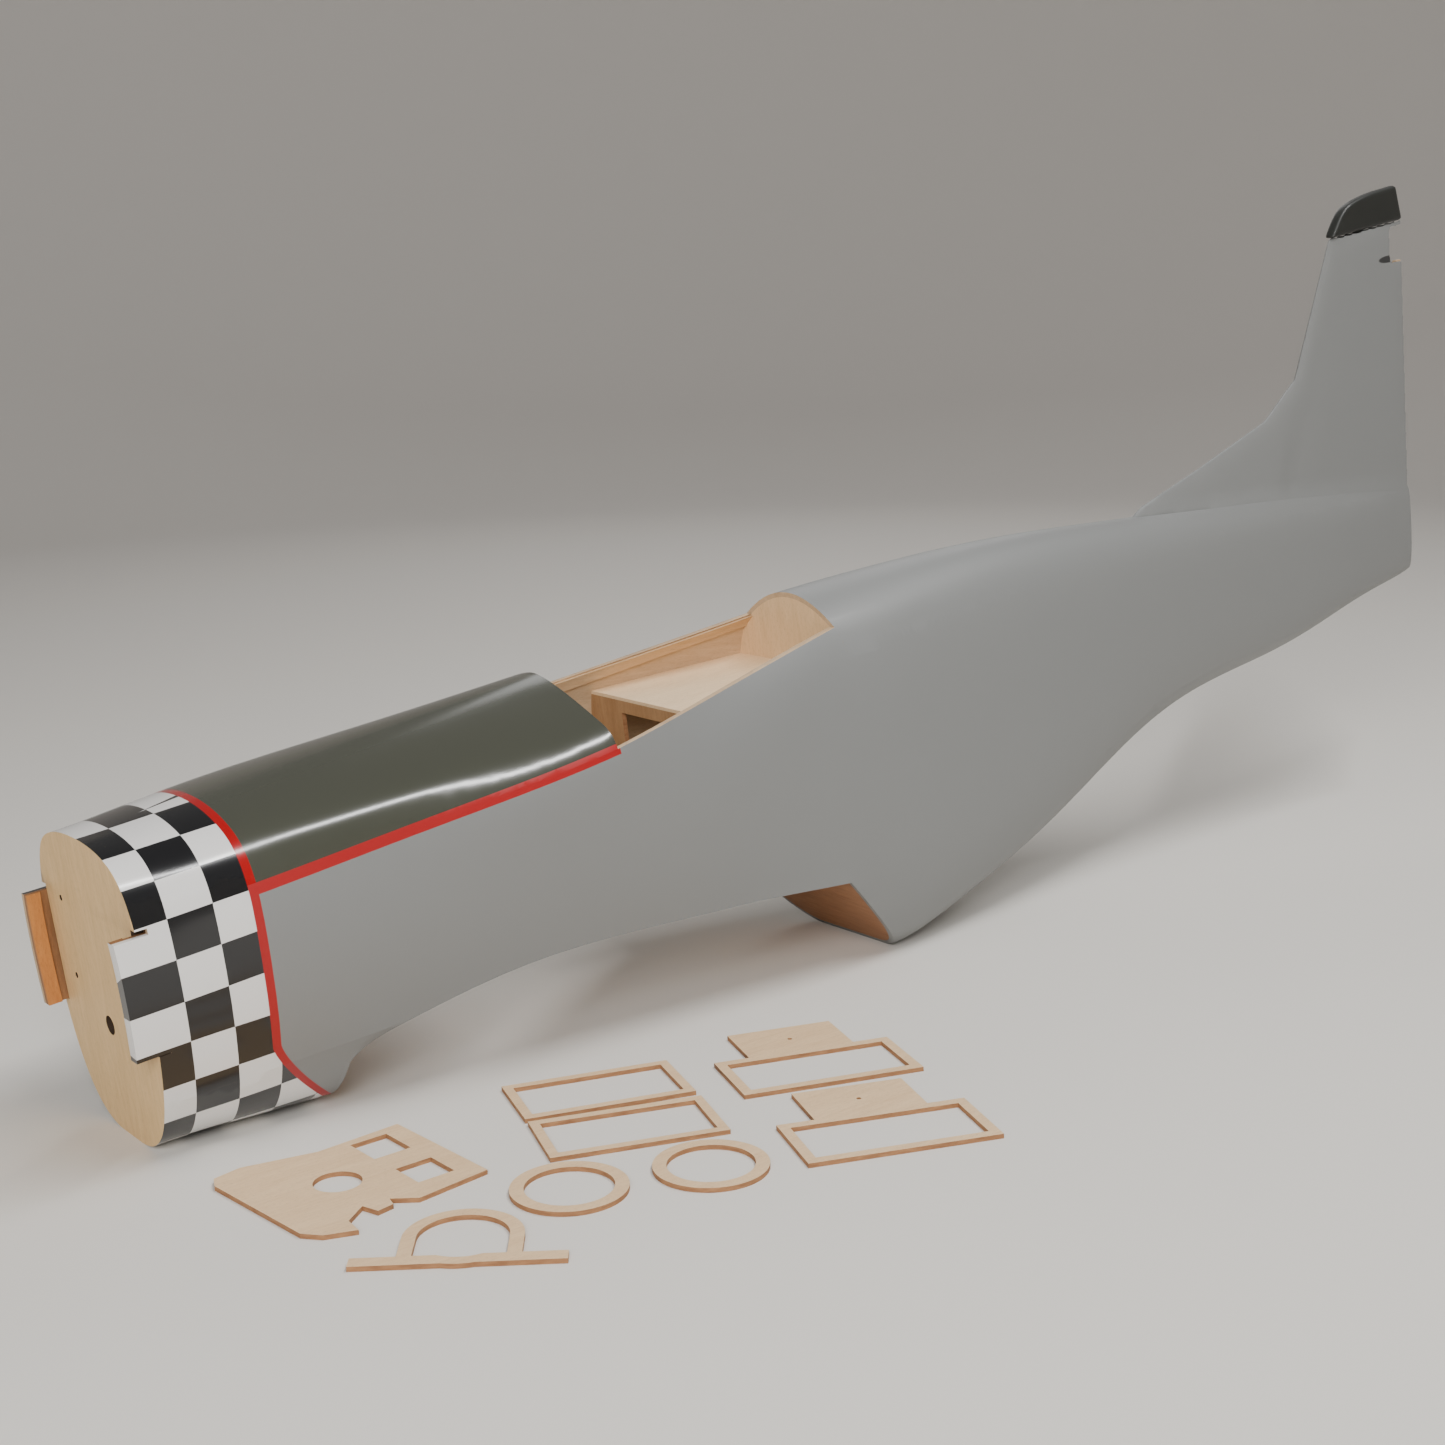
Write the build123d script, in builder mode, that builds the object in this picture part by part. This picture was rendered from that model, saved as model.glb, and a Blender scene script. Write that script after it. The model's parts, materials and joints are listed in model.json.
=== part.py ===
from build123d import *
import os
from math import atan2, cos, radians, sin

os.makedirs("parts", exist_ok=True)

# Fuselage of a large radio-control scale fighter, in millimetres, resting on its chin and belly
# scoop, with its loose laser-cut plywood parts laid out beside it on the same surface.
# Row frame: origin at the middle of the firewall's front face on the thrust line, +X aft,
# +Y starboard, +Z up. Stations x and heights z below are measured in the fuselage's own datum,
# which is dipped nose down by rest_pitch; the plans of loose parts are measured on the surface.

# sheet and ply thicknesses
skin = 3.0
glue_line = 0.05
firewall_ply = 6.0
ply = 3.0
floor_sheet = 2.0
fin_sheet = 2.0
loose_ply = 2.4

# fuselage side view
stern = 1072.0
beyond = stern + 20.0
stern_post_depth = 6.0
nose_depth = 82.0
scoop_lip = 478.0
scoop_depth = 131.0
deck_end = 267.0
cockpit_end = 450.0
seam_nose = 40.0
seam_deck = 59.0
sill_end = 79.0
turtle_seam = (62.0, 36.0)
reach = 160.0
slim = 40.0

# tabs that carry the cowl, and the slots that let them through the firewall
tab_length = 11.0
tab_low, tab_high = -22.0, 37.0
tab_doubler = 2.5
tab_doubler_end = 30.0
tab_strip = 1.5
tab_strip_width = 7.0
slot_gap = 0.5
slot_relief = 3.0

# holes in the firewall, and the blind nuts behind the bolt holes
line_hole = 10.0
line_hole_height = -22.4
bolt_hole = 3.2
bolt_side = 34.2
bolt_heights = {"upper": 36.6, "lower": -4.6}
nut_flange, nut_flange_thick = 14.0, 1.5
nut_barrel, nut_barrel_long = 6.0, 7.0

# wing seat
seat_front = 93.0
seat_rear, seat_rear_height = 424.0, -67.0
chin_seam = -50.0
chin_end = 140.0
wing_former_front, wing_former_ply, wing_former_top = 74.0, 6.0, -40.0
dowel = 6.4
dowel_side = 32.0
dowel_height = -68.0
strip_thick = 5.0
saddle_top = -32.0
bolt_plate, bolt_plate_low = 6.0, -57.0
bolt_plate_front, bolt_plate_rear = 385.0, 415.0
wing_bolt = 6.6
wing_bolt_side = 30.0
wing_bolt_station = 400.0
wing_nut_flange = 18.0
wing_nut_barrel, wing_nut_long = 10.0, 8.0

# cockpit
floor_top = 52.5
floor_front = 345.0
stringer_thick, stringer_tall, stringer_drop = 2.0, 7.0, 1.0
dash_front = 261.0
window_side = 35.0
window_low, window_high = 0.0, 43.0
front_former_low = -20.0
rear_former_low = 0.0
former_rim = 14.0
aft_formers = {"scoop": 540.0, "waist": 640.0, "boom": 750.0, "fin": 900.0}
scoop_end = 640.0
belly_seam = [(seat_rear, -80.0), (540.0, -80.0), (750.0, -42.0), (beyond, -12.0)]

# fin
fin_root, fin_top = 45.0, 250.0
fin_root_le, fin_top_le = 892.0, 990.4
fin_half_root, fin_half_top = 7.0, 4.6
fin_te_root, fin_te_top = 4.2, 3.2
fin_le_width = 9.0
fin_rib_sheet = 2.0
fin_ribs = {"low": 95.0, "middle": 140.0, "high": 185.0}
fin_tip_front, fin_tip_rear = 242.0, 246.4
notch_front, notch_low, notch_high = 1057.0, 217.0, 242.0
tip_round = 2.5
tip_top = (1065.0, 272.0)
tip_crown = [(1040.0, 270.0), (1018.0, 266.5), (1002.0, 260.5), (994.0, 252.5)]
# dorsal fillet: station, foot height and half width, ridge height and half width
dorsal = [(742, 66, 6, 80, 1.5), (831, 58, 8, 102, 2.2), (906, 48, 8, 122.6, 2.6), (940, 42, 7, 146, 2.2)]

# loose parts
ring_outer, ring_inner = 55.4, 42.0
frame_long, frame_wide, frame_rim = 90.0, 47.5, 5.0
hitch_long, hitch_wide, hitch_rim = 99.0, 48.5, 5.5
tongue_long, tongue_reach = 59.5, 60.0
tongue_hole = 2.6
cradle_bar, cradle_bar_wide = 94.0, 8.0
cradle_leg = 18.0
cradle_outer, cradle_inner = 54.0, 41.0
tray_outline = [(-50, 38), (-50, -35), (-44, -44), (-30, -51), (-28, -40), (-15, -31.5), (-13, -41), (-4, -40),
                (-2, -34), (8, -43.5), (48, -41.5), (51, 36), (5, 36), (-31, 47.5), (-46, 45.5)]
tray_windows = [(29.2, 18.9, 20.0, 22.7), (27.8, -19.6, 19.5, 20.5)]
tray_window_turn = -3.7
tray_hole_place, tray_hole = (-8.0, -0.7), 23.0

# Lines of the fuselage, nose to stern: station, height of the top, half width of the flat crown,
# shoulder (half width, height), foot half width, height of the bottom, half width of the flat
# bottom, and how far along each straight leg the shoulder's curve starts and ends.
lines = [
    (-tab_length - 1, 75, 28, 61.5, 56, 59, -nose_depth, 10, 0.42, 0.37),
    (0, 75, 28, 61.5, 56, 59, -nose_depth, 10, 0.42, 0.37),
    (60, 80, 28, 66, 60, 66, -86.5, 12, 0.5, 0.22),
    (160, 86, 21, 72, 63, 72, -95, 14, 0.65, 0.14),
    (deck_end, 91, 15, 75, 65.5, 76, -108, 16, 0.78, 0.1),
    (360, 94, 17, 70, 64, 72, -120, 20, 0.62, 0.25),
    (cockpit_end, 96, 20, 62, 62, 65, -129, 24, 0.5, 0.5),
    (scoop_lip, 96.5, 20, 60, 61.5, 62, -scoop_depth, 26, 0.5, 0.58),
    (540, 96.5, 18, 53, 62, 55, -123, 20, 0.5, 0.58),
    (640, 92.5, 15, 42, 61, 43, -98, 12, 0.5, 0.54),
    (750, 82, 11, 31, 57, 30, -61, 6, 0.5, 0.5),
    (900, 68, 7, 19.5, 47, 18, -44.5, 4, 0.5, 0.5),
    (985, 58, 5, 13.5, 40, 12.5, -32, 3, 0.5, 0.5),
    (1030, 52, 4, 9.5, 36, 9, -26, 2.2, 0.5, 0.5),
    (stern, 47, 3, 5.6, 33, 5.4, -20.5, 1.5, 0.5, 0.5),
]

# The nose dips until the chin and the scoop lip stand on one level surface.
rest_pitch = atan2(scoop_depth - nose_depth, scoop_lip)
aft = Vector(cos(rest_pitch), 0, sin(rest_pitch))
up = Vector(-sin(rest_pitch), 0, cos(rest_pitch))
surface_height = -nose_depth * cos(rest_pitch)
profile = Plane(origin=(0, 0, 0), x_dir=aft, z_dir=(0, -1, 0))
post_front = stern - stern_post_depth


def station(x):
    """Plane across the fuselage at station x: local x to starboard, y up, normal aft."""
    return Plane(origin=aft * x, x_dir=(0, 1, 0), z_dir=aft)


def level(z):
    """Plane along the fuselage at height z: local x aft, y to starboard, normal up."""
    return Plane(origin=up * z, x_dir=aft, z_dir=up)


def seam(x):
    """Height of the joint between deck and side at station x, up to the end of the deck."""
    return seam_nose + (seam_deck - seam_nose) * x / deck_end


def sill(x):
    """Height of the cockpit sill at station x."""
    return seam_deck + (sill_end - seam_deck) * (x - deck_end) / (cockpit_end - deck_end)


def leading_edge(z):
    """Station of the fin's leading edge at height z."""
    return fin_root_le + (fin_top_le - fin_root_le) * (z - fin_root) / (fin_top - fin_root)


def corners(row, inset):
    """Guide points of one starboard half section, drawn in by inset (less in the slim tail)."""
    x, top, crown, wide, shoulder, foot, bottom, flat, high, low = row
    inset = min(inset, skin) + max(inset - skin, 0) * min(1, wide / slim)
    crest = Vector(crown, top - inset)
    corner = Vector(wide - inset, shoulder - 0.6 * inset)
    toe = Vector(foot - inset, bottom + inset)
    upper = crest + (corner - crest) * high
    lower = corner + (toe - corner) * low
    return [(p.X, p.Y) for p in (Vector(0, crest.Y), crest, upper, corner, lower, toe, Vector(flat, toe.Y))]


def hull(outset, inset=None):
    """Starboard half of the fuselage inside outset, or just the layer between outset and inset."""
    sections = []
    for row in lines:
        a = corners(row, outset)
        with BuildLine(station(row[0])) as outline:
            Bezier(a[0], a[1], a[2])
            Bezier(a[2], a[3], a[4])
            Bezier(a[4], a[5], a[6])
            if inset is None:
                Polyline(a[6], (0, a[6][1]), a[0])
            else:
                b = corners(row, inset)
                Polyline(a[6], (0, a[6][1]), (0, b[6][1]), b[6])
                Bezier(b[6], b[5], b[4])
                Bezier(b[4], b[3], b[2])
                Bezier(b[2], b[1], b[0])
                Line(b[0], a[0])
        sections.append(Face(outline.wire()))
    with BuildPart() as form:
        loft(sections=sections, clean=False)
    return form.part


def prism(*points):
    """Prism right across the fuselage whose outline in side view is a polygon."""
    with BuildPart() as block:
        with BuildSketch(profile):
            with BuildLine():
                Polyline(*points, close=True)
            make_face()
        extrude(amount=reach, both=True)
    return block.part


def slab(x, thickness, low=-reach, high=reach):
    """Slice of the fuselage at station x, between two heights."""
    return prism((x, low), (x + thickness, low), (x + thickness, high), (x, high))


def wing_prism():
    """The wing's upper surface and everything under it, as it seats in the fuselage."""
    with BuildPart() as seat:
        with BuildSketch(profile):
            with BuildLine():
                Polyline((98, -64), (seat_front, -92), (seat_front - 4, -200),
                         (seat_rear + 108, -200), (seat_rear, seat_rear_height))
                Spline((98, -64), (126, -50.5), (221, -41.5), (320, -51.5), (seat_rear, seat_rear_height),
                       tangents=((0.6, 1), (1, -0.17)))
            make_face()
        extrude(amount=reach, both=True)
    return seat.part


def keep(whole, region):
    """The part of one solid that lies inside another."""
    with BuildPart() as piece:
        add(whole)
        add(region, mode=Mode.INTERSECT)
    return piece.part


def remove(whole, region):
    """One solid with another taken out of it."""
    with BuildPart() as piece:
        add(whole)
        add(region, mode=Mode.SUBTRACT)
    return piece.part


def finish(piece, label):
    """Name a finished piece and write it."""
    piece.part.label = label
    export_step(piece.part, f"parts/{label}.step")


def pair(solid, label):
    """Write a starboard piece and its port twin, mirrored about the centre plane."""
    with BuildPart() as starboard:
        add(solid)
    finish(starboard, f"starboard_{label}")
    with BuildPart() as port:
        mirror(solid, about=Plane.XZ)
    finish(port, f"port_{label}")


outer = hull(0)
plinth = hull(-glue_line)
inner = hull(skin + glue_line)
shell = remove(hull(0, skin), wing_prism())

# ---------------------------------------------------------------- sheeting
with BuildPart() as forward_deck:
    add(keep(shell, prism((firewall_ply, seam(firewall_ply)), (deck_end, seam_deck), (deck_end, reach),
                          (firewall_ply, reach))))
    mirror(about=Plane.XZ)
finish(forward_deck, "forward_deck")

side_outline = prism(
    (-tab_length, tab_low), (-tab_length, tab_high), (firewall_ply, tab_high), (firewall_ply, seam(firewall_ply)),
    (deck_end, seam_deck), (cockpit_end, sill_end), (cockpit_end, turtle_seam[0]), (beyond, turtle_seam[1]),
    (beyond, belly_seam[3][1]), *reversed(belly_seam[:3]), (chin_end, belly_seam[0][1]), (chin_end, chin_seam),
    (firewall_ply, chin_seam), (firewall_ply, tab_low))
pair(keep(shell, side_outline), "side")

with BuildPart() as chin_sheet:
    add(keep(shell, prism((firewall_ply, chin_seam), (chin_end, chin_seam), (chin_end, -reach),
                          (firewall_ply, -reach))))
    mirror(about=Plane.XZ)
finish(chin_sheet, "chin_sheet")

with BuildPart() as turtledeck:
    add(keep(shell, prism((cockpit_end, turtle_seam[0]), (beyond, turtle_seam[1]), (beyond, reach),
                          (cockpit_end, reach))))
    mirror(about=Plane.XZ)
finish(turtledeck, "turtledeck")

scoop_seam = belly_seam[1][1] + (belly_seam[2][1] - belly_seam[1][1]) * (scoop_end - 540) / 210
with BuildPart() as scoop_shell:
    add(keep(shell, prism(belly_seam[0], belly_seam[1], (scoop_end, scoop_seam), (scoop_end, -reach),
                          (seat_rear, -reach))))
    mirror(about=Plane.XZ)
finish(scoop_shell, "scoop_shell")

with BuildPart() as aft_belly_sheet:
    add(keep(shell, prism((scoop_end, scoop_seam), belly_seam[2], (beyond, belly_seam[3][1]), (beyond, -reach),
                          (scoop_end, -reach))))
    mirror(about=Plane.XZ)
finish(aft_belly_sheet, "aft_belly_sheet")

# ---------------------------------------------------------------- nose
with BuildPart() as firewall:
    add(keep(outer, slab(0, firewall_ply)))
    mirror(about=Plane.XZ)
    with BuildSketch(station(0)):
        slot_side = lines[1][5] - skin - tab_doubler - slot_gap
        slot_tall = tab_high + slot_relief - tab_low + slot_gap
        for side in (1, -1):
            with Locations((side * (slot_side + 20), tab_high + slot_relief - slot_tall / 2)):
                Rectangle(40, slot_tall)
        with Locations((0, line_hole_height)):
            Circle(line_hole / 2)
        with Locations(*[(bolt_side, z) for z in bolt_heights.values()]):
            Circle(bolt_hole / 2)
    extrude(amount=firewall_ply, mode=Mode.SUBTRACT)
finish(firewall, "firewall")

for name, height in bolt_heights.items():
    with BuildPart() as blind_nut:
        with BuildSketch(station(firewall_ply)):
            with Locations((bolt_side, height)):
                Circle(nut_flange / 2)
        extrude(amount=nut_flange_thick)
        with BuildSketch(station(firewall_ply)):
            with Locations((bolt_side, height)):
                Circle(nut_barrel / 2)
        extrude(amount=nut_barrel_long)
        with BuildSketch(station(firewall_ply)):
            with Locations((bolt_side, height)):
                Circle(bolt_hole / 2)
        extrude(amount=nut_barrel_long, mode=Mode.SUBTRACT)
    finish(blind_nut, f"firewall_nut_{name}")

pair(keep(hull(skin + glue_line, skin + tab_doubler),
          prism((-tab_length, tab_low), (tab_doubler_end, tab_low), (tab_doubler_end, tab_high),
                (-tab_length, tab_high))), "tab_doubler")
pair(keep(hull(skin + tab_doubler + glue_line, skin + tab_doubler + tab_strip),
          slab(-tab_length, tab_strip_width, tab_low, tab_high)), "tab_strip")

with BuildPart() as wing_dowel_former:
    add(keep(inner, slab(wing_former_front, wing_former_ply, -reach, wing_former_top)))
    mirror(about=Plane.XZ)
    with BuildSketch(station(wing_former_front)):
        with Locations((dowel_side, dowel_height), (-dowel_side, dowel_height)):
            Circle(dowel / 2)
    extrude(amount=wing_former_ply, mode=Mode.SUBTRACT)
finish(wing_dowel_former, "wing_dowel_former")

# ---------------------------------------------------------------- wing seat
layer = hull(skin + glue_line, skin + strip_thick)
pair(remove(keep(layer, prism((110, -80), (seat_rear - 50, -80), (seat_rear - 50, saddle_top - 10),
                              (300, saddle_top), (130, saddle_top), (110, saddle_top - 10))), wing_prism()),
     "saddle_strip")

with BuildPart() as wing_bolt_plate:
    add(keep(inner, slab(bolt_plate_front, bolt_plate_rear - bolt_plate_front, bolt_plate_low,
                         bolt_plate_low + bolt_plate)))
    mirror(about=Plane.XZ)
    with BuildSketch(level(bolt_plate_low)):
        with Locations((wing_bolt_station, wing_bolt_side), (wing_bolt_station, -wing_bolt_side)):
            Circle(wing_bolt / 2)
    extrude(amount=bolt_plate, mode=Mode.SUBTRACT)
finish(wing_bolt_plate, "wing_bolt_plate")

plate_top = level(bolt_plate_low + bolt_plate)
with BuildPart() as wing_nut:
    with BuildSketch(plate_top):
        with Locations((wing_bolt_station, wing_bolt_side)):
            Circle(wing_nut_flange / 2)
    extrude(amount=nut_flange_thick)
    with BuildSketch(plate_top):
        with Locations((wing_bolt_station, wing_bolt_side)):
            Circle(wing_nut_barrel / 2)
    extrude(amount=wing_nut_long)
    with BuildSketch(plate_top):
        with Locations((wing_bolt_station, wing_bolt_side)):
            Circle(wing_bolt / 2)
    extrude(amount=wing_nut_long, mode=Mode.SUBTRACT)
pair(wing_nut.part, "wing_nut")

lip = (seat_rear + 52, seat_rear_height - 64)
with BuildPart() as scoop_front_former:
    add(keep(inner, prism((seat_rear, seat_rear_height), lip, (lip[0] + 4, lip[1]), (seat_rear + 4, seat_rear_height))))
    mirror(about=Plane.XZ)
finish(scoop_front_former, "scoop_front_former")

# ---------------------------------------------------------------- cockpit
with BuildPart() as dash_former:
    add(keep(inner, slab(dash_front, ply, seam_nose, reach)))
    mirror(about=Plane.XZ)
    with BuildSketch(station(dash_front)):
        with Locations((0, 57)):
            RectangleRounded(96, 22, 8)
    extrude(amount=ply, mode=Mode.SUBTRACT)
finish(dash_former, "dash_former")

with BuildPart() as cockpit_front_former:
    add(keep(inner, slab(floor_front, ply, front_former_low, floor_top - floor_sheet)))
    mirror(about=Plane.XZ)
    with BuildSketch(station(floor_front)):
        with Locations((0, (window_low + window_high) / 2)):
            Rectangle(2 * window_side, window_high - window_low)
    extrude(amount=ply, mode=Mode.SUBTRACT)
finish(cockpit_front_former, "cockpit_front_former")

with BuildPart() as cockpit_floor:
    add(keep(inner, slab(floor_front, cockpit_end - floor_front, floor_top - floor_sheet, floor_top)))
    mirror(about=Plane.XZ)
finish(cockpit_floor, "cockpit_floor")

with BuildPart() as cockpit_rear_former:
    add(keep(inner, slab(cockpit_end, ply, rear_former_low, reach)))
    mirror(about=Plane.XZ)
finish(cockpit_rear_former, "cockpit_rear_former")

stringer_low, stringer_high = stringer_tall + stringer_drop, stringer_drop
pair(keep(hull(skin + glue_line, skin + stringer_thick),
          prism((deck_end, seam_deck - stringer_low), (cockpit_end, sill_end - stringer_low),
                (cockpit_end, sill_end - stringer_high), (deck_end, seam_deck - stringer_high))), "sill_stringer")

# ---------------------------------------------------------------- aft fuselage
for name, x in aft_formers.items():
    row = next(row for row in lines if row[0] == x)
    middle = (row[1] + row[6]) / 2
    with BuildPart() as former:
        add(keep(inner, slab(x, ply)))
        mirror(about=Plane.XZ)
        with BuildSketch(station(x)):
            with Locations((0, middle)):
                Ellipse(row[3] - former_rim * 0.6, (row[1] - row[6]) / 2 - former_rim * 1.6)
        extrude(amount=ply, mode=Mode.SUBTRACT)
    finish(former, f"{name}_former")

with BuildPart() as stern_post:
    add(keep(inner, slab(post_front, stern_post_depth)))
    mirror(about=Plane.XZ)
finish(stern_post, "stern_post")

# ---------------------------------------------------------------- fin


def fin_form(inset):
    """Starboard half of the fin, drawn in by inset."""
    with BuildPart() as form:
        for z, wide, rear in ((fin_root, fin_half_root, fin_te_root), (fin_top, fin_half_top, fin_te_top)):
            front = leading_edge(z)
            with BuildSketch(level(z)):
                with BuildLine():
                    Polyline((front, 0), (front + 4, 0.55 * wide - inset), (front + 16, 0.85 * wide - inset),
                             (front + 40, wide - inset), (stern, rear - inset), (stern, 0), close=True)
                make_face()
        loft()
    return form.part


fin = remove(fin_form(0), plinth)
tip_seam = [(leading_edge(fin_tip_front), fin_tip_front), (stern, fin_tip_rear)]
rise = fin_le_width * (fin_tip_rear - fin_tip_front) / (stern - tip_seam[0][0])
behind = [(leading_edge(0) + fin_le_width, 0), (tip_seam[0][0] + fin_le_width, fin_tip_front + rise)]
fin_body = prism(behind[0], behind[1], tip_seam[1], (stern, notch_high), (notch_front, notch_high),
                 (notch_front, notch_low), (stern, notch_low), (stern, 0))
fin_core = keep(remove(fin_form(fin_sheet), plinth), fin_body)
with BuildPart() as fin_starboard_skin:
    add(keep(fin, fin_body))
    add(fin_form(fin_sheet), mode=Mode.SUBTRACT)
finish(fin_starboard_skin, "fin_starboard_skin")
with BuildPart() as fin_port_skin:
    mirror(fin_starboard_skin.part, about=Plane.XZ)
finish(fin_port_skin, "fin_port_skin")

with BuildPart() as fin_leading_edge:
    add(keep(fin, prism((500, 0), behind[0], behind[1], tip_seam[0], (500, fin_tip_front))))
    mirror(about=Plane.XZ)
finish(fin_leading_edge, "fin_leading_edge")

with BuildPart() as fin_post:
    add(keep(fin_core, slab(post_front, stern_post_depth, 0, notch_low)))
    mirror(about=Plane.XZ)
finish(fin_post, "fin_post")

for name, z in fin_ribs.items():
    with BuildPart() as rib:
        add(keep(fin_core, prism((500, z), (post_front, z), (post_front, z + fin_rib_sheet), (500, z + fin_rib_sheet))))
        mirror(about=Plane.XZ)
    finish(rib, f"fin_rib_{name}")

with BuildPart() as fin_tip:
    with BuildSketch(profile):
        with BuildLine():
            Line(tip_seam[0], tip_seam[1])
            Line(tip_seam[1], tip_top)
            Spline(tip_top, *tip_crown, tip_seam[0])
        make_face()
    extrude(amount=fin_half_top, both=True)
    fillet(fin_tip.edges().filter_by(lambda e: abs(e.center().Y) > fin_half_top - 0.1), radius=tip_round)
finish(fin_tip, "fin_tip")

with BuildPart() as dorsal_form:
    for x, foot, foot_half, ridge, ridge_half in dorsal:
        with BuildSketch(station(x)):
            with BuildLine():
                Polyline((0, foot), (foot_half, foot), (ridge_half, ridge), (0, ridge), close=True)
            make_face()
    loft(ruled=True)
with BuildPart() as dorsal_fillet:
    add(remove(remove(dorsal_form.part, plinth), fin_form(-glue_line)))
    mirror(about=Plane.XZ)
finish(dorsal_fillet, "dorsal_fillet")

# ---------------------------------------------------------------- loose parts on the surface


def bench(x, y, turn):
    """Plane on the surface at (x, y), turned about the vertical."""
    return Plane(origin=(x, y, surface_height), x_dir=(cos(radians(turn)), sin(radians(turn)), 0), z_dir=(0, 0, 1))


for name, x, y in (("front", 134.4, -199.7), ("rear", 198.3, -223.4)):
    with BuildPart() as ring:
        with BuildSketch(bench(x, y, 0)):
            Circle(ring_outer / 2)
            Circle(ring_inner / 2, mode=Mode.SUBTRACT)
        extrude(amount=loose_ply)
    finish(ring, f"loose_ring_{name}")

for name, x, y, turn in (("inboard", 212.2, -111.0, -18.0), ("outboard", 195.5, -160.8, -20.0)):
    with BuildPart() as frame:
        with BuildSketch(bench(x, y, turn)):
            Rectangle(frame_long, frame_wide)
            Rectangle(frame_long - 2 * frame_rim, frame_wide - 2 * frame_rim, mode=Mode.SUBTRACT)
        extrude(amount=loose_ply)
    finish(frame, f"loose_frame_{name}")

for name, x, y, turn in (("inboard", 316.8, -162.4, -19.3), ("outboard", 286.5, -250.1, -21.5)):
    with BuildPart() as hitch:
        with BuildSketch(bench(x, y, turn)):
            Rectangle(hitch_long, hitch_wide)
            Rectangle(hitch_long - 2 * hitch_rim, hitch_wide - 2 * hitch_rim, mode=Mode.SUBTRACT)
            with Locations((0, (hitch_wide / 2 - hitch_rim + tongue_reach) / 2)):
                Rectangle(tongue_long, tongue_reach - hitch_wide / 2 + hitch_rim)
            with Locations((0, (hitch_wide / 2 + tongue_reach) / 2)):
                Circle(tongue_hole / 2, mode=Mode.SUBTRACT)
        extrude(amount=loose_ply)
    finish(hitch, f"loose_tongue_frame_{name}")

with BuildPart() as loose_cradle:
    with BuildSketch(bench(57.6, -228.8, -36.7)):
        Rectangle(cradle_bar, cradle_bar_wide)
        arch = cradle_bar_wide / 2 + cradle_leg
        with Locations((0, arch)):
            Circle(cradle_outer / 2)
        with Locations((0, arch / 2)):
            Rectangle(cradle_outer, arch)
        with Locations((0, arch)):
            Circle(cradle_inner / 2, mode=Mode.SUBTRACT)
        with Locations((0, (arch + cradle_bar_wide / 2) / 2)):
            Rectangle(cradle_inner, arch - cradle_bar_wide / 2, mode=Mode.SUBTRACT)
    extrude(amount=loose_ply)
finish(loose_cradle, "loose_cradle")

with BuildPart() as loose_tray:
    with BuildSketch(bench(64.2, -122.0, 5.3)):
        with BuildLine():
            Polyline(*tray_outline, close=True)
        make_face()
        for x, y, long, wide in tray_windows:
            with Locations((x, y)):
                Rectangle(long, wide, rotation=tray_window_turn, mode=Mode.SUBTRACT)
        with Locations(tray_hole_place):
            Circle(tray_hole / 2, mode=Mode.SUBTRACT)
    extrude(amount=loose_ply)
finish(loose_tray, "loose_tray")
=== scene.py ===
import json
from math import asin, cos, radians, sin

import bmesh
import bpy
from mathutils import Matrix, Vector
from mathutils.bvhtree import BVHTree
from mathutils.kdtree import KDTree


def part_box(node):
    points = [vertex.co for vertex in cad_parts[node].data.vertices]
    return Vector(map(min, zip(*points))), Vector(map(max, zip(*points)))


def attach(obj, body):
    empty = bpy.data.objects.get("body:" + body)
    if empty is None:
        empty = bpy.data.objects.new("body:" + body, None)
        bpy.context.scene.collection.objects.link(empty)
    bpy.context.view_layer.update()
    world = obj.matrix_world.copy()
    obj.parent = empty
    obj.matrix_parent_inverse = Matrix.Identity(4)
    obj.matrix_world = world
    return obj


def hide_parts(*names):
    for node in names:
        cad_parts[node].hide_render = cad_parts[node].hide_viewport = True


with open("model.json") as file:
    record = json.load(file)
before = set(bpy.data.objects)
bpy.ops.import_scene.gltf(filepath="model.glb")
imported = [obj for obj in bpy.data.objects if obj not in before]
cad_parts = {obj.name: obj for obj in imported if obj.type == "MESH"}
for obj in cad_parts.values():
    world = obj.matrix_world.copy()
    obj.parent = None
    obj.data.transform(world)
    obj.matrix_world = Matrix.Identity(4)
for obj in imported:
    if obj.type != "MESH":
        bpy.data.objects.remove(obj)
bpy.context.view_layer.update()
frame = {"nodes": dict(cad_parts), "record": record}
mm = 0.001

# The fuselage is dipped nose down; its own datum is read back from the firewall's mount.
firewall_mount = next(m for m in frame["record"]["mounts"] if m["name"] == "firewall_face")
dip = asin(-firewall_mount["axis"][2])
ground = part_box("loose_tray")[0].z


def datum(p):
    """A point of the row frame in the fuselage's own station, side and height, in millimetres."""
    return Vector((p.x * cos(dip) + p.z * sin(dip), p.y, p.z * cos(dip) - p.x * sin(dip))) / mm


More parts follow.
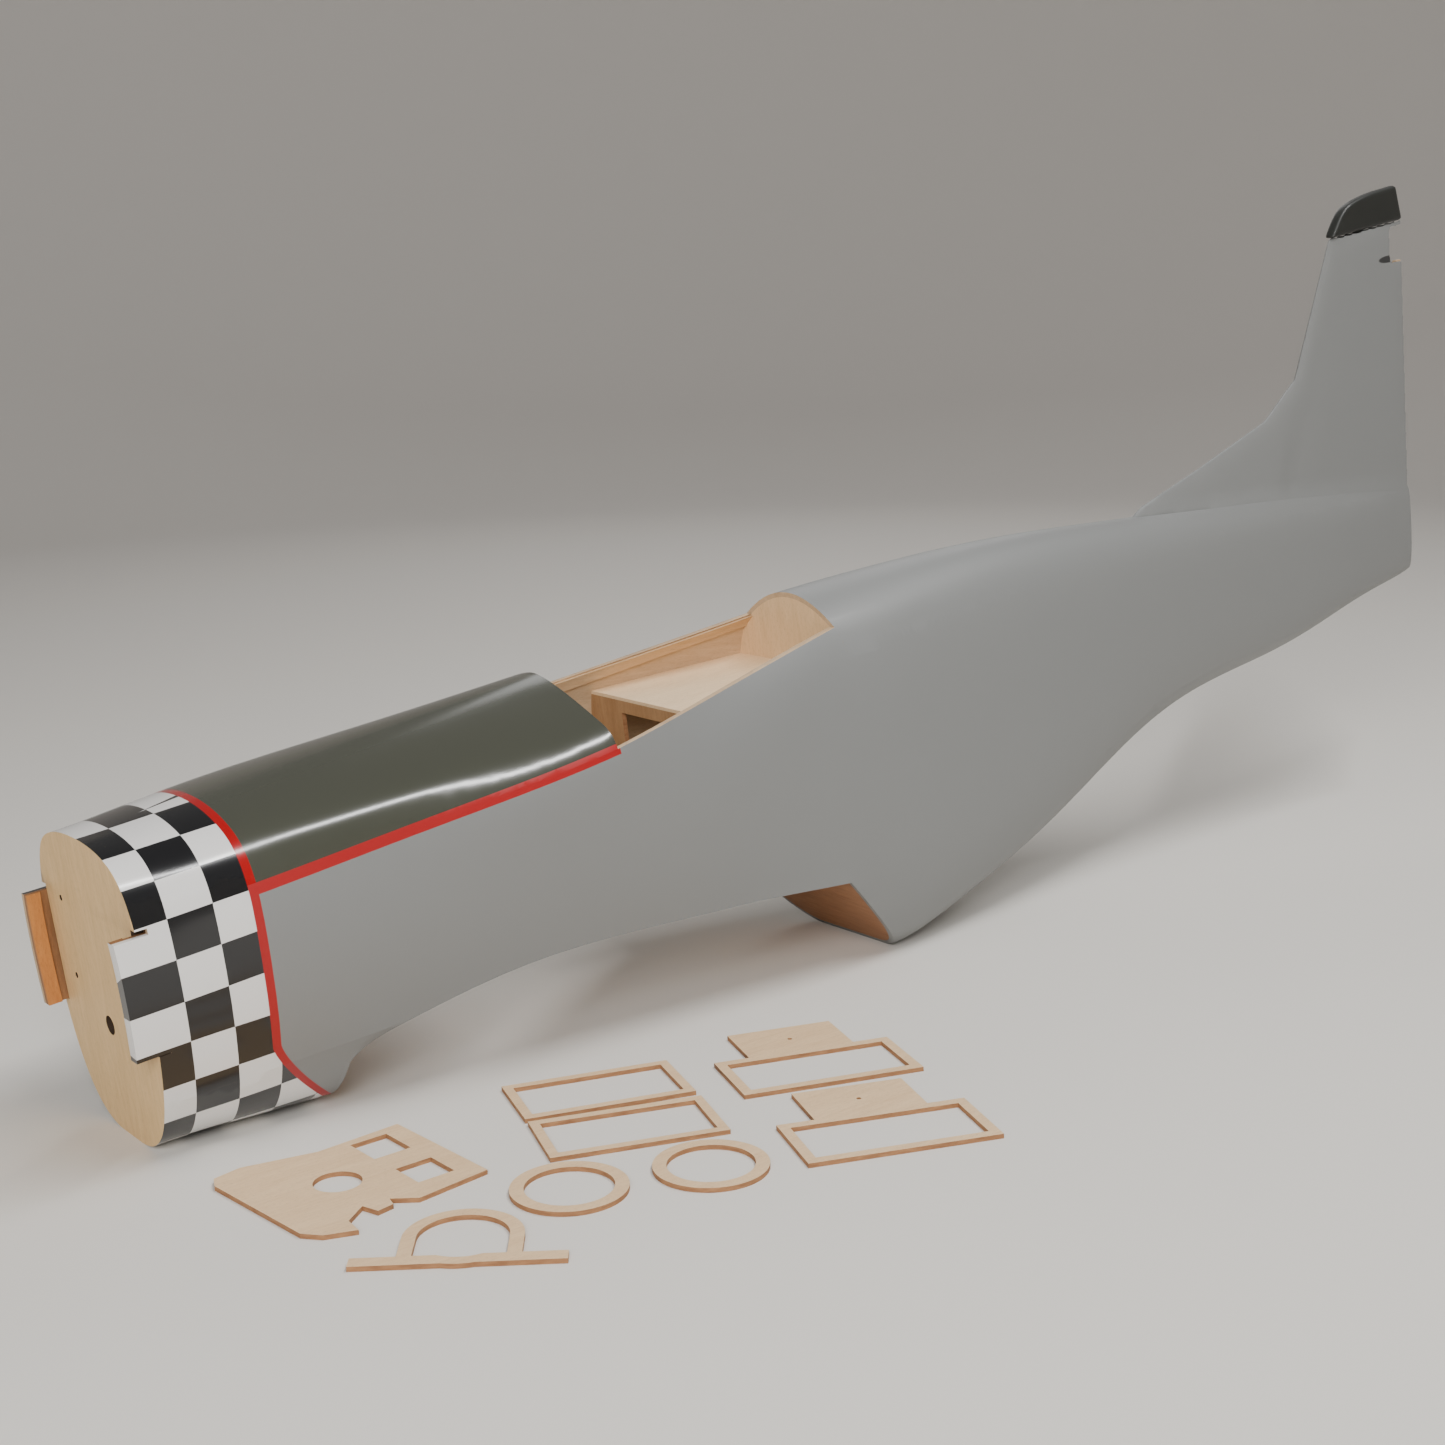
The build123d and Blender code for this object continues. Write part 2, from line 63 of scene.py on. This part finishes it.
# ---------------------------------------------------------------- shader writing
class Wire:
    """A shader value; arithmetic on it adds the nodes."""

    def __init__(self, shop, socket):
        self.shop, self.socket = shop, socket

    def math(self, operation, *others, clamp=False):
        settings = {"operation": operation, "use_clamp": clamp}
        return self.shop.node("ShaderNodeMath", settings, self, *others)

    def __add__(self, other):
        return self.math("ADD", other)

    def __sub__(self, other):
        return self.math("SUBTRACT", other)

    def __mul__(self, other):
        return self.math("MULTIPLY", other)

    def __truediv__(self, other):
        return self.math("DIVIDE", other)

    def __neg__(self):
        return self.math("MULTIPLY", -1.0)

    def __rsub__(self, other):
        return (-self).math("ADD", other)

    __radd__, __rmul__ = __add__, __mul__

    def above(self, edge, soft=0.15):
        """One past the edge and nought before it, blending over the soft width."""
        return ((self - edge) / soft + 0.5).math("ADD", 0.0, clamp=True)

    def below(self, edge, soft=0.15):
        return 1 - self.above(edge, soft)


class Finish:
    """One material, built node by node."""

    def __init__(self, name):
        self.material = bpy.data.materials.new(name)
        self.material.use_nodes = True
        self.tree = self.material.node_tree
        self.shader = self.tree.nodes["Principled BSDF"]
        place = self.tree.nodes.new("ShaderNodeTexCoord")
        self.place = Wire(self, place.outputs["Object"])
        split = self.tree.nodes.new("ShaderNodeSeparateXYZ")
        self.tree.links.new(place.outputs["Object"], split.inputs[0])
        x, y, z = (Wire(self, split.outputs[i]) for i in range(3))
        self.station = (x * cos(dip) + z * sin(dip)) / mm
        self.side = y / mm
        self.height = (z * cos(dip) - x * sin(dip)) / mm

    def node(self, kind, settings, *inputs, out=0):
        made = self.tree.nodes.new(kind)
        for key, value in settings.items():
            setattr(made, key, value)
        for i, value in enumerate(inputs):
            if isinstance(value, Wire):
                self.tree.links.new(value.socket, made.inputs[i])
            elif value is not None:
                made.inputs[i].default_value = value
        return Wire(self, made.outputs[out])

    def noise(self, scale, stretch=(1, 1, 1), detail=3.0, rough=0.5, turn=(0, 0, 0)):
        spot = self.node("ShaderNodeMapping", {}, self.place, (0, 0, 0), turn, stretch)
        return self.node("ShaderNodeTexNoise", {}, spot, None, scale, detail, rough)

    def mix(self, amount, a, b):
        made = self.tree.nodes.new("ShaderNodeMix")
        made.data_type = "RGBA"
        for socket, value in ((made.inputs[0], amount), (made.inputs[6], a), (made.inputs[7], b)):
            if isinstance(value, Wire):
                self.tree.links.new(value.socket, socket)
            else:
                socket.default_value = value if isinstance(value, (int, float)) else (*value, 1)
        return Wire(self, made.outputs[2])

    def feed(self, name, value):
        if isinstance(value, Wire):
            self.tree.links.new(value.socket, self.shader.inputs[name])
        else:
            self.shader.inputs[name].default_value = value
        return self

    def bump(self, height, depth, strength=1.0):
        made = self.tree.nodes.new("ShaderNodeBump")
        made.inputs["Strength"].default_value = strength
        made.inputs["Distance"].default_value = depth
        self.tree.links.new(height.socket, made.inputs["Height"])
        self.tree.links.new(made.outputs[0], self.shader.inputs["Normal"])
        return self


GREY, WORN_GREY = (0.208, 0.212, 0.208), (0.172, 0.176, 0.172)
OLIVE, RED = (0.056, 0.058, 0.043), (0.37, 0.0, 0.002)
WHITE, BLACK, TIP = (0.77, 0.755, 0.735), (0.008, 0.008, 0.009), (0.012, 0.013, 0.011)
SLOT_SHADE = (0.03, 0.03, 0.03)

# where the film's colours meet, in millimetres of the fuselage's own datum
check_start, check_long, check_tall, check_foot = 16, 22, 21.1, 1.1
girth_over_top = 218.2
ring_station, ring_half, ring_sweep = 57.8, 2.2, 38
sweep_start, sweep_depth, sweep_power = -38, 52, 1.35
seam_height, seam_rise = 40, 0.0714
stripe_above, stripe_below = 2.6, 3.0
deck_rear = 268.5
slot_station, slot_level, slot_half_long, slot_half_tall = 1053, 219.5, 12, 2.6


def covering_film():
    """Iron-on film: chequered nose, red trim, olive anti-glare panel and grey everywhere else."""
    f = Finish("covering film")
    x, y, z = f.station, f.side, f.height
    wide = y.math("ABSOLUTE")
    rows_up = z + 0.55 * (62 - wide)
    rows_down = z - 0.009 * (61 - wide) * (61 - wide)
    over_top = y.above(0, 0.01)
    upper = z.above(0, 0.01)
    crest = rows_up * (1 - over_top) + (girth_over_top - rows_up) * over_top
    girth = crest * upper + rows_down * (1 - upper)
    row = ((girth - check_foot) / check_tall).math("FLOOR")
    column = ((x - check_start) / check_long).math("FLOOR").math("MAXIMUM", -1.0)
    odd = ((row + column) / 2).math("FRACT").above(0.25, 0.01)
    check = f.mix(odd, WHITE, BLACK)
    sweep = ((sweep_start - z) / sweep_depth).math("MAXIMUM", 0)
    ring = ring_station + ring_sweep * sweep.math("POWER", sweep_power)
    nose = x.below(ring - ring_half, 0.2)
    trim_ring = x.below(ring + ring_half, 0.2)
    seam = seam_height + seam_rise * x
    deck = z.above(seam + stripe_above, 0.2) * x.below(deck_rear, 0.2)
    trim_deck = z.above(seam - stripe_below, 0.2) * x.below(deck_rear, 0.2)
    tone = f.noise(9.0, detail=2.0) * 0.10 + 0.95
    grey = f.mix(tone.math("SUBTRACT", 0.0, clamp=True), WORN_GREY, GREY)
    paint = f.mix(trim_deck, grey, RED)
    paint = f.mix(deck, paint, OLIVE)
    paint = f.mix(trim_ring, paint, RED)
    paint = f.mix(nose, paint, check)
    # A near-black ellipse painted on the fin's film: painted shade standing in for the dark inside of the
    # slot there.
    along, tall = (x - slot_station) / slot_half_long, (z - slot_level) / slot_half_tall
    painted_slot_shade = (along * along + tall * tall).below(1.0, 0.3)
    paint = f.mix(painted_slot_shade, paint, SLOT_SHADE)
    glossy = (nose + deck).math("MINIMUM", 1.0)
    f.feed("Base Color", paint)
    f.feed("Roughness", 0.45 - 0.30 * glossy + 0.05 * f.noise(30.0, detail=2.0))
    f.feed("Coat Weight", 0.22 * glossy + 0.03)
    f.feed("Coat Roughness", 0.12)
    f.feed("Specular IOR Level", 0.62)
    slack = x.above(170, 120) * x.below(250, 60) * z.below(-35, 20) * z.above(-75, 20)
    ripples = f.noise(38.0, (1.0, 0.3, 1.7), 1.0, turn=(0, 0.5, 0))
    f.bump(f.noise(7.0, (1.0, 1.6, 2.2), 2.0) + slack * ripples * 0.7, 0.0011, 0.35)
    return f.material


def wood(name, pale, dark, along=(1, 9, 9), scale=60.0, rough=0.62, fleck=0.35):
    """Bare sheet or ply with grain running along its low-stretch direction."""
    f = Finish(name)
    grain = f.noise(scale, along, 5.0, 0.62)
    figure = f.noise(scale * 0.18, along, 3.0, 0.5)
    pores = f.noise(scale * 6, along, 2.0, 0.6).above(0.62, 0.12)
    tone = (grain * 0.6 + figure * 0.4).above(0.5, 0.42)
    colour = f.mix(tone, pale, dark)
    colour = f.mix(pores * fleck, colour, tuple(0.55 * c for c in dark))
    f.feed("Base Color", colour)
    f.feed("Roughness", rough + 0.12 * (grain - 0.5))
    f.bump(grain + pores * -0.4, 0.00025, 0.5)
    return f.material


def loose_ply_finish():
    """The pale face of laser-cut light ply."""
    return wood("laser-cut ply face", (0.90, 0.65, 0.39), (0.74, 0.50, 0.28), (1, 8, 4), 70.0, 0.6, 0.4)


def burnt_edge():
    """The browned edge that a laser leaves on ply."""
    f = Finish("burnt laser edge")
    scorch = f.noise(120.0, (1, 1, 5), 4.0, 0.6)
    f.feed("Base Color", f.mix(scorch.above(0.5, 0.5), (0.26, 0.11, 0.045), (0.46, 0.23, 0.10)))
    f.feed("Roughness", 0.75)
    f.bump(scorch, 0.0002, 0.5)
    return f.material


def plain(name, colour, rough, metal=0.0, coat=0.0):
    """A surface of one colour, smudged a little."""
    f = Finish(name)
    smudge = f.noise(40.0, detail=3.0)
    f.feed("Base Color", f.mix(smudge, colour, tuple(min(1, 1.35 * c + 0.002) for c in colour)))
    f.feed("Roughness", rough + 0.12 * (smudge - 0.5))
    f.feed("Metallic", metal)
    f.feed("Coat Weight", coat)
    return f.material


film = covering_film()
inner_balsa = wood("balsa sheet inside", (0.66, 0.48, 0.30), (0.50, 0.33, 0.19), (1, 10, 10), 45.0)
firewall_wood = wood("firewall ply face", (0.83, 0.57, 0.28), (0.66, 0.42, 0.18), (9, 9, 1), 38.0,
                     rough=0.55, fleck=0.3)
former_wood = wood("former ply face", (0.88, 0.64, 0.38), (0.72, 0.49, 0.27), (9, 9, 1), 50.0)
floor_wood = wood("cockpit floor ply", (0.94, 0.71, 0.45), (0.82, 0.58, 0.34), (1, 9, 9), 50.0)
strip_wood = wood("sill strip", (0.74, 0.52, 0.31), (0.60, 0.38, 0.20), (1, 10, 10), 60.0)
# Mid-brown for the cockpit's front former: partly the ply's own tone, partly painted shade for a face that
# sits inside the cockpit.
frame_ply_partly_shaded = wood("cockpit frame ply partly painted shade", (0.50, 0.30, 0.15), (0.36, 0.19, 0.08), (9, 9, 1), 50.0)
orange_wood = wood("tab strip", (0.60, 0.25, 0.065), (0.42, 0.14, 0.03), (8, 8, 1), 60.0)
brown_wood = wood("tab doubler", (0.33, 0.16, 0.065), (0.22, 0.09, 0.03), (8, 8, 1), 60.0)
# The scoop's front ply is its own ply colour darkened to a deep brown: painted shade for a face that looks
# down and forward under the belly.
scoop_ply_painted_shade = wood("scoop front ply darkened as painted shade", (0.40, 0.19, 0.08), (0.24, 0.10, 0.04), (9, 1, 9), 45.0)
loose_face = loose_ply_finish()
loose_edge = burnt_edge()
# Near-black walls for the firewall's holes and slots: a laser's scorch, made much darker as painted shade
# inside the holes and slot gaps.
scorch_and_painted_shade = plain("hole wall scorch and painted shade", (0.035, 0.018, 0.009), 0.85)
tip_film = plain("tip film", TIP, 0.48, coat=0.08)
nut_steel = plain("nut plating", (0.45, 0.44, 0.42), 0.35, metal=1.0)


# ---------------------------------------------------------------- pieces
AFT, UP = Vector((cos(dip), 0, sin(dip))), Vector((-sin(dip), 0, cos(dip)))
CUT_PITCH = 12
tab_front = -10.8
slot_low, slot_high = -22.2, 39.8
slot_margin, hole_reach = 1, 45
sill_front, sill_rear = 268, 449
middle_heights, middle_spacing = (0, -8, -18, -18, 6, 18), 190


def middle_line(p):
    """Height of the fuselage's middle at a station, to tell outside faces from inside ones."""
    last = len(middle_heights) - 1
    return middle_heights[min(last, max(0, int(p.x // middle_spacing)))]


def is_outside(face):
    """True for a face on the skin's outer surface."""
    spot = datum(face.calc_center_median())
    tip = datum(face.normal * mm)
    away = Vector((0, spot.y, spot.z - middle_line(spot)))
    outboard = tip.y * (1 if spot.y > 0 else -1)
    return outboard > 0.5 or (away.length > 0 and tip.dot(away.normalized()) > 0.3)


def sheet_finish(face):
    """Film on the outer skin and folded over the port tab's front end; bare inside and along the sills."""
    spot = datum(face.calc_center_median())
    on_sill = sill_front < spot.x < sill_rear and datum(face.normal * mm).z > 0.97
    folded = spot.x < tab_front and spot.y < 0
    return 0 if folded or (is_outside(face) and not on_sill) else 1


def firewall_finish(face):
    """Film on the rim, ply on both faces, and near-black walls in the holes and slots: laser scorch
    deepened with painted shade.
    """
    spot = datum(face.calc_center_median())
    if abs(datum(face.normal * mm).x) > 0.3:
        return 1
    in_slot = slot_low - slot_margin < spot.z < slot_high + slot_margin
    near_hole = abs(spot.y) < hole_reach and abs(spot.z) < hole_reach
    return 2 if in_slot or near_hole else 0


def loaded(names):
    """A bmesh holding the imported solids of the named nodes, each with its corners merged."""
    bm = bmesh.new()
    for name in names:
        bm.from_mesh(frame["nodes"][name].data)
    for face in bm.faces:
        face.material_index = 0
    bmesh.ops.remove_doubles(bm, verts=bm.verts, dist=2e-6)
    bm.normal_update()
    return bm


def cut_evenly(bm, pitch=CUT_PITCH):
    """Cut long slivers across at even stations and heights, so shading follows the curves."""
    spots = [datum(v.co) for v in bm.verts]
    for axis, places in ((AFT, [p.x for p in spots]), (UP, [p.z for p in spots])):
        for step in range(int(min(places) // pitch) + 1, int(max(places) // pitch) + 1):
            geom = bm.verts[:] + bm.edges[:] + bm.faces[:]
            bmesh.ops.bisect_plane(bm, geom=geom, dist=1e-6, plane_co=axis * step * pitch * mm,
                                   plane_no=axis)
    bm.normal_update()


class Skin:
    """The outer surface of the whole airframe: the way it faces, evened out over a short reach."""

    def __init__(self, shells, reach=14 * mm, like=0.35):
        self.reach, self.like, self.pulls = reach, like, []
        faces = [(face, face.calc_area()) for bm in shells for face in bm.faces
                 if face.material_index == 0]
        self.tree = KDTree(len(faces))
        for i, (face, area) in enumerate(faces):
            self.tree.insert(face.calc_center_median(), i)
            self.pulls.append((face.normal.copy(), area))
        self.tree.balance()

    def facing(self, place, normal):
        """Average direction of the outer faces near a place that face roughly the same way."""
        total = Vector()
        for _, i, far in self.tree.find_range(place, self.reach):
            facing, area = self.pulls[i]
            if facing.dot(normal) > self.like:
                total += facing * (area * (1 - (far / self.reach) ** 2))
        return total.normalized() if total.length > 0 else normal

    def dress(self, mesh):
        """Give a mesh's filmed corners the evened-out directions; other corners keep their own."""
        known = {}
        directions = []
        for polygon in mesh.polygons:
            for corner in polygon.vertices:
                if polygon.material_index:
                    directions.append((0, 0, 0))
                    continue
                found = known.setdefault(corner, [])
                evened = next((e for n, e in found if n.dot(polygon.normal) > 0.85), None)
                if evened is None:
                    evened = self.facing(mesh.vertices[corner].co, polygon.normal)
                    found.append((polygon.normal.copy(), evened))
                directions.append(evened)
        mesh.normals_split_custom_set(directions)


def settle(bm, title, materials, body, names, crease=28, skin=None):
    """Turn a finished bmesh into a piece that rides on a body and stands for its nodes."""
    mesh = bpy.data.meshes.new(title)
    for face in bm.faces:
        face.smooth = True
    bm.to_mesh(mesh)
    bm.free()
    mesh.set_sharp_from_angle(angle=radians(crease))
    for material in materials:
        mesh.materials.append(material)
    if skin:
        skin.dress(mesh)
    piece = bpy.data.objects.new(title, mesh)
    bpy.context.scene.collection.objects.link(piece)
    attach(piece, body)
    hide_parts(*names)
    return piece


def sheeting(names, finish_of=sheet_finish):
    """Evenly cut sheets whose filmed faces are told apart from the bare ones."""
    bm = loaded(names)
    cut_evenly(bm)
    for face in bm.faces:
        face.material_index = finish_of(face)
    return bm


def shaded_copy(title, names, materials, pick=None, body="fuselage", crease=28):
    """A merged, smoothly shaded copy of nodes; pick chooses each face's material."""
    bm = loaded(names)
    if pick:
        for face in bm.faces:
            face.material_index = pick(face)
    return settle(bm, title, materials, body, names, crease)


def fused(names, voxel, rounds):
    """The named solids fused into one body, with its joints rubbed smooth."""
    bm = loaded(names)
    mesh = bpy.data.meshes.new("rough_fin")
    bm.to_mesh(mesh)
    bm.free()
    rough = bpy.data.objects.new("rough_fin", mesh)
    bpy.context.scene.collection.objects.link(rough)
    remesh = rough.modifiers.new("fuse", "REMESH")
    remesh.mode, remesh.voxel_size = "VOXEL", voxel
    bm = bmesh.new()
    bm.from_object(rough, bpy.context.evaluated_depsgraph_get())
    bpy.data.objects.remove(rough)
    bpy.data.meshes.remove(mesh)
    for _ in range(rounds):
        bmesh.ops.smooth_vert(bm, verts=bm.verts, factor=0.5,
                              use_axis_x=True, use_axis_y=True, use_axis_z=True)
    bm.normal_update()
    return bm


def bed_in(bm, bed, near=6 * mm, sink=4.5 * mm):
    """Let the foot of one form down into the skin that it stands on, so no gap shows."""
    surface = BVHTree.FromBMesh(bed)
    for v in bm.verts:
        far = surface.find_nearest(v.co, near)[3]
        if far is not None:
            v.co -= UP * (sink * (1 - far / near))
    bm.normal_update()


def edge_is_burnt(face):
    """Pale ply on the flat faces of a loose part, burnt on its edges."""
    return 0 if abs(face.normal.z) > 0.7 else 1


sheet_nodes = ["port_side", "starboard_side", "turtledeck", "scoop_shell", "aft_belly_sheet", "chin_sheet"]
fin_nodes = ["fin_port_skin", "fin_starboard_skin", "fin_leading_edge", "dorsal_fillet"]
sheets = sheeting(sheet_nodes)
deck = sheeting(["forward_deck"])
wall = sheeting(["firewall"], firewall_finish)
fin = fused(fin_nodes, 1.5 * mm, 6)
bed_in(fin, sheets)
skin = Skin([sheets, deck, wall, fin])
settle(sheets, "covered_sheeting", [film, inner_balsa], "fuselage", sheet_nodes,
       skin=skin)
settle(deck, "covered_deck", [film, inner_balsa], "fuselage", ["forward_deck"],
       skin=skin)
settle(wall, "firewall_panel", [film, firewall_wood, scorch_and_painted_shade], "fuselage", ["firewall"],
       skin=skin)
settle(fin, "fin_covering", [film], "fuselage", fin_nodes, crease=50, skin=skin)
settle(fused(["fin_tip"], 1.0 * mm, 5), "fin_tip_cap", [tip_film], "fuselage", ["fin_tip"],
       crease=60)
shaded_copy("cockpit_frame", ["cockpit_front_former"], [frame_ply_partly_shaded, loose_edge],
            lambda face: 0 if abs(datum(face.normal * mm).x) > 0.7 else 1)
shaded_copy("port_tab_core", ["port_tab_doubler", "port_tab_strip"], [brown_wood, film],
            lambda face: 1 if datum(face.calc_center_median()).x < tab_front else 0)

bare = [
    (former_wood, ["wing_dowel_former", "dash_former", "cockpit_rear_former", "wing_bolt_plate",
                   "scoop_former", "waist_former", "boom_former", "fin_former"]),
    (floor_wood, ["cockpit_floor"]),
    (strip_wood, ["port_sill_stringer", "starboard_sill_stringer"]),
    (inner_balsa, ["port_saddle_strip", "starboard_saddle_strip", "stern_post", "fin_post",
                   "fin_rib_low", "fin_rib_middle", "fin_rib_high"]),
    (orange_wood, ["starboard_tab_strip"]),
    (brown_wood, ["starboard_tab_doubler"]),
    (scoop_ply_painted_shade, ["scoop_front_former"]),
    (nut_steel, ["firewall_nut_upper", "firewall_nut_lower", "port_wing_nut", "starboard_wing_nut"]),
]
for finish, names in bare:
    for name in names:
        mesh = frame["nodes"][name].data
        mesh.materials.clear()
        mesh.materials.append(finish)

for name in [n for n in frame["nodes"] if n.startswith("loose_")]:
    shaded_copy(name + "_cut", [name], [loose_face, loose_edge], edge_is_burnt, name + "_body")


# ---------------------------------------------------------------- studio
def backdrop():
    """Seamless paper: a wide round floor that sweeps up into a low wall on every side."""
    bm = bmesh.new()
    flat, sweep, wall_top = 2.6, 1.2, 2.4
    rim = [bm.verts.new((0, 0, 0)), bm.verts.new((flat, 0, 0))]
    rim += [bm.verts.new((flat + sweep * sin(a), 0, sweep * (1 - cos(a)))) for a in
            (radians(7.5 * step) for step in range(1, 13))]
    rim.append(bm.verts.new((flat + sweep, 0, wall_top)))
    edges = [bm.edges.new(pair) for pair in zip(rim, rim[1:])]
    bmesh.ops.spin(bm, geom=rim + edges, cent=(0, 0, 0), axis=(0, 0, 1), angle=radians(360), steps=96,
                   use_merge=True, use_duplicate=False)
    bmesh.ops.remove_doubles(bm, verts=bm.verts, dist=1e-5)
    bmesh.ops.recalc_face_normals(bm, faces=bm.faces)
    bmesh.ops.translate(bm, verts=bm.verts, vec=(0.5, 0.0, ground))
    for face in bm.faces:
        face.smooth = True
    mesh = bpy.data.meshes.new("backdrop")
    bm.to_mesh(mesh)
    bm.free()
    paper = bpy.data.objects.new("backdrop", mesh)
    bpy.context.scene.collection.objects.link(paper)
    f = Finish("backdrop paper")
    # The paper is painted lighter near the object and darker farther out: a painted pool of light and its
    # falloff.
    out, over = f.station / 1000 - 0.5, f.side / 1000
    far = (out * out + over * over).math("SQRT").above(2.0, 2.4)
    f.feed("Base Color", f.mix(far, (0.76, 0.73, 0.68), (0.70, 0.67, 0.635)))
    f.feed("Roughness", 0.85)
    mesh.materials.append(f.material)


def lamp(name, place, aim, size, power):
    """A soft rectangular lamp, long side level, turned to its aim."""
    glow = bpy.data.lights.new(name, "AREA")
    glow.shape = "RECTANGLE"
    glow.size, glow.size_y = size
    glow.energy = power
    light = bpy.data.objects.new(name, glow)
    light.location = place
    light.rotation_euler = (Vector(aim) - Vector(place)).to_track_quat("-Z", "Y").to_euler()
    bpy.context.scene.collection.objects.link(light)


def studio():
    """The paper, an even grey sky and three lamps."""
    backdrop()
    world = bpy.data.worlds.new("studio")
    bpy.context.scene.world = world
    world.use_nodes = True
    world.node_tree.nodes["Background"].inputs[0].default_value = (0.62, 0.61, 0.60, 1)
    world.node_tree.nodes["Background"].inputs[1].default_value = 0.31
    lamp("big side softbox", (-1.25, -1.85, 1.25), (0.35, 0.0, 0.0), (1.4, 1.0), 53)
    lamp("overhead strip", (0.72, -0.62, 1.65), (0.30, 0.0, 0.0), (1.9, 0.08), 27)
    lamp("back fill", (1.9, 1.7, 1.5), (0.6, 0, 0.1), (1.2, 1.2), 8)


def camera():
    """A camera a little above the object, off its port bow, and rolled slightly."""
    lens = bpy.data.cameras.new("camera")
    lens.sensor_width = 36.0
    lens.lens = 52.2
    eye = Vector((-0.3546, -0.9552, 0.3235))
    look = Vector((0.5999, 0.7733, -0.2053)).normalized()
    flat = look.cross(Vector((0, 0, 1))).normalized()
    tall = flat.cross(look)
    roll = radians(1.78)
    right = flat * cos(roll) - tall * sin(roll)
    over = tall * cos(roll) + flat * sin(roll)
    view = bpy.data.objects.new("camera", lens)
    view.matrix_world = Matrix.Translation(eye) @ Matrix((right, over, -look)).transposed().to_4x4()
    bpy.context.scene.collection.objects.link(view)
    bpy.context.scene.camera = view


studio()
camera()
